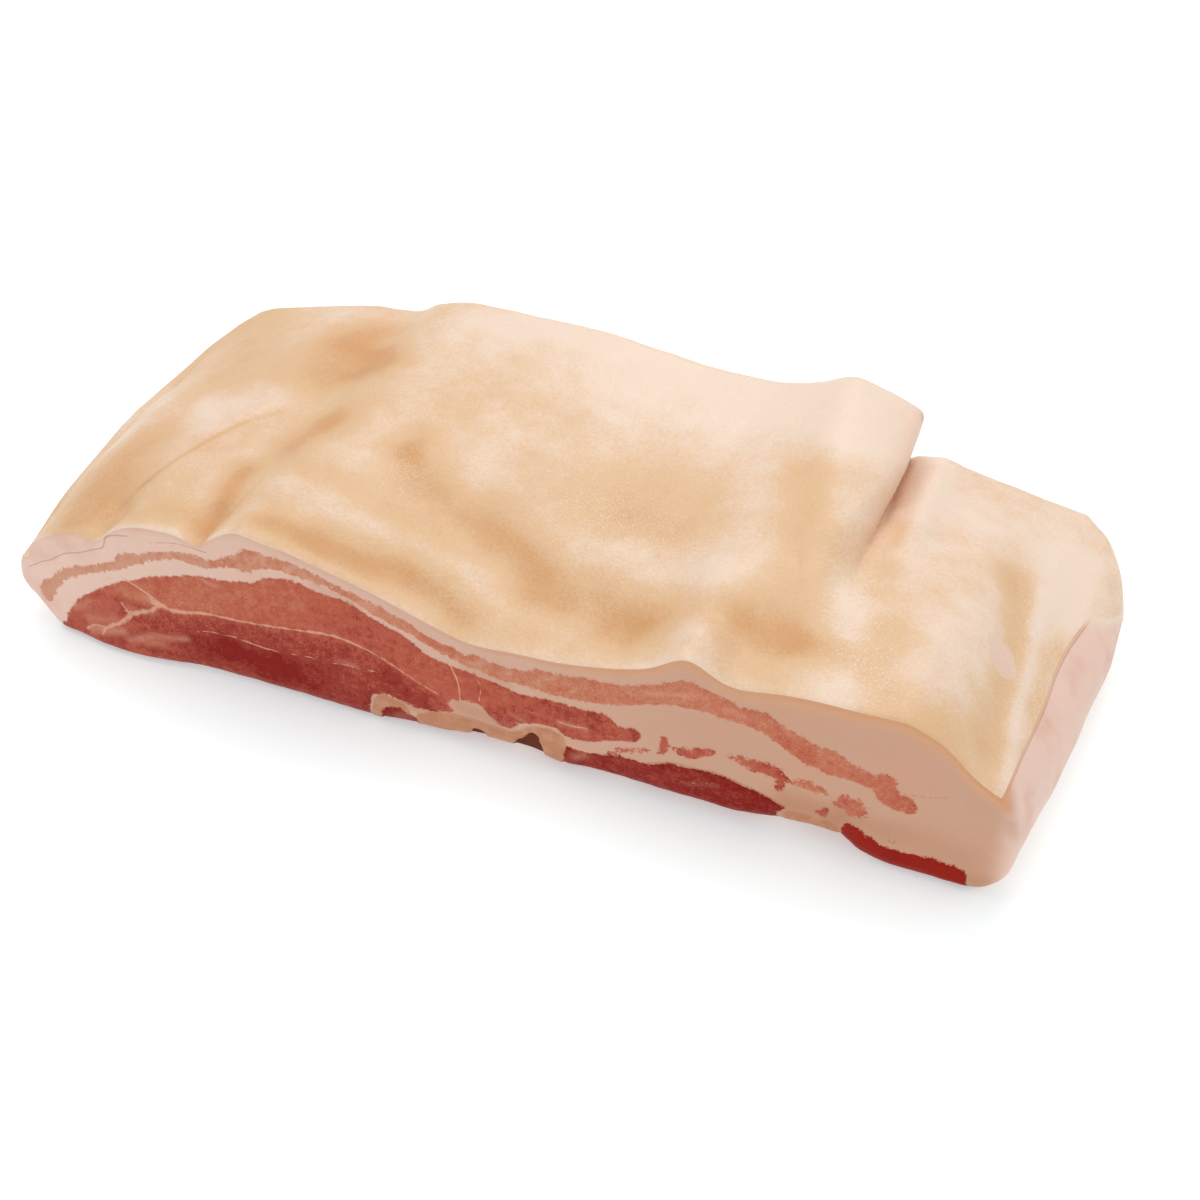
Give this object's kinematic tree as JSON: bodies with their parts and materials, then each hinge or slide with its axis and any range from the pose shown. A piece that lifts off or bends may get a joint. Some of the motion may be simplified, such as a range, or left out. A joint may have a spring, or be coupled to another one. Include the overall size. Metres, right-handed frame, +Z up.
{
  "type": "pork belly slab",
  "caption": "Raw boneless pork belly slab lying skin side up, with a folded, gently humped rind and straight-cut layered sides.",
  "frame": {"origin": "centre of the footprint at the lowest point, on the surface that the slab lies on", "axes": "+X along the slab towards its right end, -Y out of the long cut side that shows its layers, +Z up out of the rind"},
  "size_m": [0.3458, 0.1542, 0.0652],
  "materials": {
    "raw_pork": null
  },
  "bodies": {
    "root": {"pork_belly_slab": "raw_pork"}
  },
  "joints": []
}
